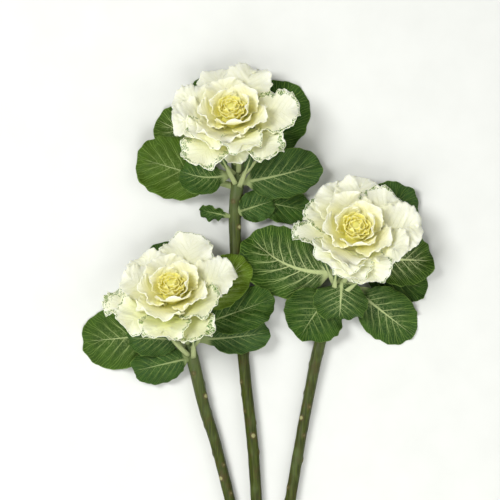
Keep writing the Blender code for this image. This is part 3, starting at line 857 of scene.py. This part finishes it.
def leaf_bases(head, stem):
    """The small stalks and their curled ends under one head, in one mesh."""
    bm = new_sheet()
    around, out = np.meshgrid(np.linspace(-1, 1, BASE_COLUMNS + 1), np.linspace(0, 1, BASE_ROWS + 1))
    for number, (angle, below, radius, height, width) in enumerate(LEAF_BASES):
        outward = stem.spread(angle)
        blade = Blade(
            foot=stem.point(below) + FOOT_OUT * outward + FOOT_UP * UP,
            tip=stem.crown + radius * outward + height * stem.axis,
            face=UP + 0.3 * outward, width=width, rise=3, petiole=0.6, curl=50, wave=1.0, phase=number,
            stalk=2.3, rib=STOUTEST,
        )
        points = blade.surface(around.ravel(), out.ravel(), STALK_CROWN * (1 - out.ravel() ** 2))
        thick = blade.thickness(around.ravel(), out.ravel())
        add_blade(bm, blade, around, out, points, thick, tone=-1.0, rank=1.0)
    return sheet_mesh(head + "_leaf_bases", bm)


for head, stem in STEMS.items():
    bases = show(head + "_leaf_bases", leaf_bases(head, stem), head + "_stem", "stem", leaf_top, leaf_under)
    give_thickness(bases)

# White rosettes
# Each head is a rosette of thick, creamy petal-like leaves: wide ruffled ones spread round the outside,
# some speckled green at the rim, and upright cupped ones inside. All grow from one short crown.

PETAL_SHARE = 0.8
INNER_SHARE = 0.75
SOLID_PETAL_COLUMNS = 10
SOLID_PETAL_LEVELS = (0, 0.55, 1)
PETAL_COLUMNS = 120
PETAL_ROWS = 11
PETAL_ROUNDS = 16
PETAL_STIFFNESS = 0.93
CROSSING = 9.0
HEADROOM = 1.5
HIGHEST = cad_high[2] / MM + HEADROOM
INNER_PETALS = 8
OUTER_SEED = 0.5
INNER_SEED = 20.5
NECK_SEED = 35.5

# The heights of a petal's relief, from middle to rim, and the depths of its outline's lobes, as a share
PETAL_PUFF = 0.35
PETAL_SWELL = 1.6
PETAL_WAVE = 1.6
PETAL_CRINKLE = 0.6
PETAL_FRILL = 0.5
PETAL_LOBES = 0.026
PETAL_NOTCHES = 0.016

# Angle round the rosette (0 right, 90 back), radius, height on its axis, width
OUTER_PETALS = {
    "tall": [
        (88, 56, 8, 34), (311, 57, 6, 38), (235, 60, 5, 44), (107, 54, 14, 44), (72, 58, 14, 46),
        (2, 57, 14, 50), (157, 54, 15, 44), (188, 52, 14, 48), (228, 43, 16, 50), (284, 46, 14, 38),
    ],
    "right": [
        (180, 54, 8, 26), (147, 49, 8, 34), (115, 51, 13, 44), (84, 54, 14, 44), (46, 52, 14, 46),
        (8, 58, 14, 50), (335, 47, 14, 42), (286, 52, 12, 44), (262, 47, 11, 38), (236, 44, 15, 50),
    ],
    "left": [
        (188, 61, 8, 36), (296, 57, 7, 40), (90, 55, 10, 40), (72, 60, 22, 48), (20, 56, 16, 46),
        (127, 51, 15, 44), (158, 47, 16, 42), (221, 56, 12, 46), (260, 54, 12, 46), (325, 44, 16, 44),
    ],
}

# How broad the green speckles are at the rim of each outer petal, and how far a head's lowest, front petals
# are tinted darker lime-green: partly their own colour, partly painted shade
SPECKLES = {
    "tall": (0.9, 1.1, 1.2, 0.1, 0.1, 0.7, 0.1, 0.1, 0.4, 0.4),
    "right": (1.4, 0.9, 0.1, 0.1, 0.6, 0.1, 0.1, 0.3, 0.3, 0.2),
    "left": (1.7, 1.5, 0.1, 0.2, 0.1, 0.1, 0.1, 0.3, 0.6, 0.8),
}
LOW_PETAL_LIME_AND_SHADE = {"tall": 0.25, "right": 0.35, "left": 0.9}

# Angle, radius, height and width of the small petals under each head
NECK_PETALS = [(252, 36, -3, 20), (274, 41, -5, 24), (296, 34, -2, 20)]


def petal(stem, angle, radius, height, width, root=2.0, start=6.0, face=0.4, **shape):
    """A petal from the rosette's core to a tip at a given angle, radius and height on its axis."""
    outward = stem.spread(angle)
    shape = {
        "petiole": 0.22, "curl": 20, "wave": 2.5, "waves": 4.5, "stalk": 3.0, "rib": 1.6,
        "blade_share": PETAL_SHARE,
    } | shape
    return Blade(
        foot=stem.crown + start * outward + root * stem.axis,
        tip=stem.crown + radius * outward + height * stem.axis,
        face=stem.axis - face * outward,
        width=width,
        **shape,
    )


def petal_relief(blade, around, out, seed, ruffle):
    """Soft folds that grow towards the rim, with a finely crinkled edge."""
    across, along, turn = blade.pressed(around, out)
    blade_only = np.clip(4 * (1 - np.abs(around) / blade.blade_share), 0, 1)
    flat = np.column_stack((across, along))
    frills = np.sin(2 * math.pi * FRILLS * around + 3 * np.sin(6 * turn + seed) + 1)
    relief = PETAL_PUFF * (np.abs(np.sin(math.pi * SIDE_VEINS * around)) - 0.6) * out * (1 - 0.6 * out)
    relief += ruffle * PETAL_SWELL * out**2 * rough(flat, 12, seed)
    relief += ruffle * PETAL_WAVE * out**3 * np.sin(8 * turn + 2 * seed + 3 * rough(flat, 30, seed + 4))
    relief += ruffle * PETAL_CRINKLE * out**5 * np.sin(21 * turn + seed + 4 * rough(flat, 25, seed + 7))
    relief += ruffle * PETAL_FRILL * out**6 * frills
    return relief * blade_only


def grid_tree(points, rows, columns):
    """A search tree of a blade's grid of points."""
    corners = [row * (columns + 1) + column for row in range(rows) for column in range(columns)]
    faces = [(k, k + 1, k + columns + 2, k + columns + 1) for k in corners]
    return BVHTree.FromPolygons([Vector(point) for point in points], faces)


def add_petal(bm, blade, seed, ruffle, rank, speckle=0.0, tone=0.0, lift=None, sisters=None):
    """One petal. An outer one has a lift, and lies on what is laid and on its earlier sisters.

    On petals the attribute rank says how yellow they are.
    """
    around, out = np.meshgrid(np.linspace(-1, 1, PETAL_COLUMNS + 1), np.linspace(0, 1, PETAL_ROWS + 1))
    flat = (around.ravel(), out.ravel())
    spread = scalloped(blade, *flat, seed, PETAL_LOBES, PETAL_NOTCHES)
    points = blade.surface(around.ravel(), spread, petal_relief(blade, *flat, seed, ruffle))
    thick = blade.thickness(*flat) * (1 - 0.5 * out.ravel() ** 3)
    if lift is not None:
        points[:, 2] += finer_grid(lift, SOLID_PETAL_LEVELS, around, out).ravel()
        points[:, 2] = np.maximum(points[:, 2], thick)
        for trees, most in ((laid, math.inf), (sisters, CROSSING)):
            points = settled(
                blade, around, points, thick, trees, None, PETAL_ROUNDS, PETAL_STIFFNESS, most
            )
        points[:, 2] = np.minimum(points[:, 2], HIGHEST)
        sisters[len(sisters)] = grid_tree(points, PETAL_ROWS, PETAL_COLUMNS)
    add_blade(bm, blade, around, out, points, thick, tone=tone, rank=rank, speckle=speckle)


PETAL_WHITE = (0.94, 0.935, 0.66, 1)
PETAL_CREAM = (0.92, 0.90, 0.47, 1)
PETAL_LIME = (0.52, 0.58, 0.18, 1)
PETAL_VEIN = (0.72, 0.72, 0.32, 1)
PETAL_RIM = (0.94, 0.935, 0.72, 1)
PETAL_YELLOW = (0.97, 0.85, 0.09, 1)
SPECKLE_GREEN = (0.08, 0.17, 0.03, 1)


def petal_finish(name, least_yellow, rim):
    """Soft creamy white, limy at the foot and yellow near the heart, with faint raised veins.

    The speckles are green spots at the rim, broken up by the veins, which stay pale.
    """
    leaf = Finish(name, {
        "Specular IOR Level": 0.3,
        "Subsurface Weight": 0.6,
        "Subsurface Scale": 0.005,
        "Subsurface Radius": (1.0, 0.95, 0.6),
    })
    out, pressed, main, fork, net, fine_net = vein_lines(leaf, 0.08)
    reach = leaf.attribute("reach")
    rank = leaf.attribute("rank")
    patches = leaf.noise(pressed, 0.8, 3.0)
    colour = leaf.mix(leaf.step(reach, 0.1, 0.42), PETAL_LIME, PETAL_CREAM)
    whiter = leaf.step(leaf.math("MULTIPLY_ADD", patches, 0.3, reach), 0.45, 0.95)
    colour = leaf.mix(whiter, colour, PETAL_WHITE)
    depth = leaf.math("SUBTRACT", 1.35, leaf.math("ADD", reach, leaf.times(out, 0.3)))
    colour = leaf.mix(leaf.math("MULTIPLY_ADD", rank, depth, least_yellow), colour, PETAL_YELLOW)
    # The tone tints a petal lime-green towards its foot; on a head's lowest outer petals this is partly
    # painted shade
    limy = leaf.times(leaf.attribute("tone"), leaf.math("SUBTRACT", 1.3, reach))
    colour = leaf.mix(limy, colour, PETAL_LIME)
    colour = leaf.mix(leaf.strongest((main, 0.35), (fork, 0.22), (net, 0.14)), colour, PETAL_VEIN)
    edge = leaf.times(leaf.step(out, 0.6, 1.0), leaf.math("MULTIPLY_ADD", rank, -0.6 * rim, rim))
    colour = leaf.mix(edge, colour, PETAL_RIM)
    speckle = leaf.attribute("speckle")
    spots = leaf.noise(pressed, 2.2, 3.0, 0.6)
    band_start = leaf.math("MULTIPLY_ADD", speckle, -0.5, 0.95)
    band = leaf.step(out, band_start, leaf.math("MULTIPLY_ADD", speckle, -0.1, 0.98))
    limit = leaf.math("MULTIPLY_ADD", band, -0.36, 0.76)
    green = leaf.step(spots, limit, leaf.math("ADD", limit, 0.08))
    green = leaf.times(green, leaf.step(out, 0.99, 0.965))
    green = leaf.times(green, leaf.step(speckle, 0.0, 0.3))
    threads = leaf.strongest((main, 0.8), (fork, 0.8), (net, 0.8))
    green = leaf.times(green, leaf.math("SUBTRACT", 1.0, threads))
    leaf.into("Base Color", leaf.mix(green, colour, SPECKLE_GREEN))
    leaf.into("Roughness", leaf.math("MULTIPLY_ADD", patches, 0.2, 0.4))
    relief = leaf.total((main, 0.8), (fork, 0.5), (net, 0.35), (fine_net, 0.15))
    leaf.bump(relief, 0.00025, 0.7)
    return leaf.material


def add_core(bm, stem, profile, sides):
    """The solid middle that the petals grow from, turned about the rosette's axis."""
    verts = bmesh.ops.create_grid(bm, x_segments=sides, y_segments=len(profile) - 1, size=1)["verts"]
    for vertex in verts:
        radius, height = profile[round((vertex.co.y + 1) / 2 * (len(profile) - 1))]
        outward = stem.spread(180 * vertex.co.x)
        vertex[bm.verts.layers.float["rank"]] = 1
        vertex[bm.verts.layers.deform.verify()][0] = BLADE_THICK / STOUTEST
        vertex.co = Vector((stem.crown + radius * outward + height * stem.axis) * MM)
    bmesh.ops.remove_doubles(bm, verts=verts, dist=1e-6)
    bmesh.ops.recalc_face_normals(bm, faces=bm.faces)


# Radius and height of the core's outline, from its foot up
CORE_PROFILE = [(0, 0.4), (7, 0.4), (9, 3), (10, 8), (7, 14), (0, 15)]
CORE_SIDES = 24


def rosette_sheet(head, stem):
    """The core, the outer petals from the lowest up, the inner ones from the heart out and the neck's."""
    bm = new_sheet()
    sisters = {}
    add_core(bm, stem, CORE_PROFILE, CORE_SIDES)
    for number, (angle, radius, height, width) in enumerate(OUTER_PETALS[head]):
        blade = petal(stem, angle, radius, height, width, rise=2, wave=3, phase=number)
        lift = solid_lift(blade, SOLID_PETAL_COLUMNS, SOLID_PETAL_LEVELS, solids, None)
        # The lowest, front petals get a darker lime tint: partly their own greener colour, partly painted
        # shade on the side of the head that faces down
        tone = 0.05 + LOW_PETAL_LIME_AND_SHADE[head] * max(0, -math.sin(math.radians(angle)))
        add_petal(bm, blade, number + OUTER_SEED, 1.0, 0.05, SPECKLES[head][number], tone, lift, sisters)
    for number in range(INNER_PETALS):
        share = number / (INNER_PETALS - 1)
        blade = petal(
            stem, number * GOLDEN_ANGLE, 14 + 24 * share, 29 - 8 * share, 28 + 16 * share,
            root=10 - 6 * share, start=4, face=1.2 - 0.7 * share, rise=-6 + 3 * share,
            petiole=0.08, curl=38 - 14 * share, wave=1.4 + share, phase=number, blade_share=INNER_SHARE,
        )
        add_petal(bm, blade, number + INNER_SEED, 0.6 + 0.4 * share, 0.65 - 0.45 * share)
    for number, (angle, radius, height, width) in enumerate(NECK_PETALS):
        blade = petal(stem, angle, radius, height, width, root=0, rise=3, wave=1.8, phase=number, stalk=2.2)
        add_petal(bm, blade, number + NECK_SEED, 0.8, 0.0, speckle=0.15, tone=0.75)
    return sheet_mesh(head + "_petals", bm)


petal_face = petal_finish("petal_face", 0.0, 0.4)
for head, stem in STEMS.items():
    petals = show(head + "_petals", rosette_sheet(head, stem), head + "_rosette", "white_petal", petal_face)
    give_thickness(petals)

# Yellow hearts
# The youngest leaves stand folded in a tight ruffled knot in the middle of each head. They are thin,
# soft and clear yellow, and grow round a bud at the tip of the same crown.

HEART_BASE = 14.5
HEART_PETALS = 16
HEART_SHARE = 0.67
HEART_SEED = 40.5
BUD_SIDES = 20

# Radius and height of the bud's outline, from its foot up
BUD_PROFILE = [(0, HEART_BASE), (6, HEART_BASE), (9.5, 17), (8.5, 20.5), (4, 23.5), (0, 24.5)]


def heart_sheet(head, stem):
    """The bud and the folded leaves round it, from the middle out."""
    bm = new_sheet()
    add_core(bm, stem, BUD_PROFILE, BUD_SIDES)
    for number in range(HEART_PETALS):
        share = number / (HEART_PETALS - 1)
        blade = petal(
            stem, number * GOLDEN_ANGLE, 3 + 10 * share, HEART_BASE + 11.5 - 2.0 * share, 8 + 11 * share,
            root=HEART_BASE - 2, start=1 + 2 * share, face=1.2, rise=-2, curl=60 - 25 * share,
            wave=1.0, waves=5, phase=number, stalk=2.0, rib=1.2, blade_share=HEART_SHARE,
        )
        add_petal(bm, blade, number + HEART_SEED, 0.35 + 0.15 * share, 1.0 - 0.45 * share)
    return sheet_mesh(head + "_heart_leaves", bm)


heart_face = petal_finish("heart_face", 0.6, 0.0)
for head, stem in STEMS.items():
    mesh = heart_sheet(head, stem)
    heart = show(head + "_heart_leaves", mesh, head + "_heart", "yellow_heart", heart_face)
    give_thickness(heart)

# Studio
# A plain pale table top, three soft lights above it, the strongest on the left, and the camera straight
# above, far off with a long lens, as the photo sees the upright stems from the front.

CAMERA_PLACE = Vector((-0.0064, 0.0833, 2.2))
VIEW_WIDTH = 0.425
VIEW_HEIGHT = 0.035
SENSOR = 36
FLOOR_HALF = 4.0
FLOOR_DROP = 0.0003
TABLE_PALE = (0.66, 0.67, 0.64, 1)
TABLE_SHADE = (0.60, 0.61, 0.58, 1)
SKY = (1.0, 1.0, 0.98, 1)
SKY_STRENGTH = 0.4
LIT_PLACE = Vector((0, 0.08, 0))

bm = bmesh.new()
bmesh.ops.create_grid(bm, x_segments=1, y_segments=1, size=FLOOR_HALF)
bmesh.ops.translate(bm, verts=bm.verts, vec=(0, 0, -FLOOR_DROP))
floor = bpy.data.objects.new("table_top", sheet_mesh("table_top", bm))
bpy.context.scene.collection.objects.link(floor)
table = Finish("table_top", {"Roughness": 0.75})
table.into("Base Color", table.mix(table.noise(table.place(), 30.0), TABLE_SHADE, TABLE_PALE))
floor.data.materials.append(table.material)

# Name, place and width in metres, and power in watts
LIGHTS = (
    ("key", (-0.9, 0.5, 1.6), 0.8, 27.5),
    ("fill", (1.3, -0.2, 1.4), 1.6, 10.0),
    ("front", (-0.2, -1.2, 1.4), 1.2, 20.0),
)
for name, place, size, power in LIGHTS:
    lamp = bpy.data.lights.new(name, "AREA")
    lamp.shape = "DISK"
    lamp.size = size
    lamp.energy = power
    holder = bpy.data.objects.new(name, lamp)
    holder.location = place
    holder.rotation_euler = (LIT_PLACE - Vector(place)).to_track_quat("-Z", "Y").to_euler()
    bpy.context.scene.collection.objects.link(holder)

world = bpy.data.worlds.new("studio")
world.use_nodes = True
world.node_tree.nodes["Background"].inputs["Color"].default_value = SKY
world.node_tree.nodes["Background"].inputs["Strength"].default_value = SKY_STRENGTH
bpy.context.scene.world = world
bpy.context.scene.view_settings.view_transform = "Standard"

lens = bpy.data.cameras.new("camera")
camera = bpy.data.objects.new("camera", lens)
camera.location = CAMERA_PLACE
lens.sensor_width = SENSOR
lens.lens = SENSOR * (CAMERA_PLACE.z - VIEW_HEIGHT) / VIEW_WIDTH
bpy.context.scene.collection.objects.link(camera)
bpy.context.scene.camera = camera
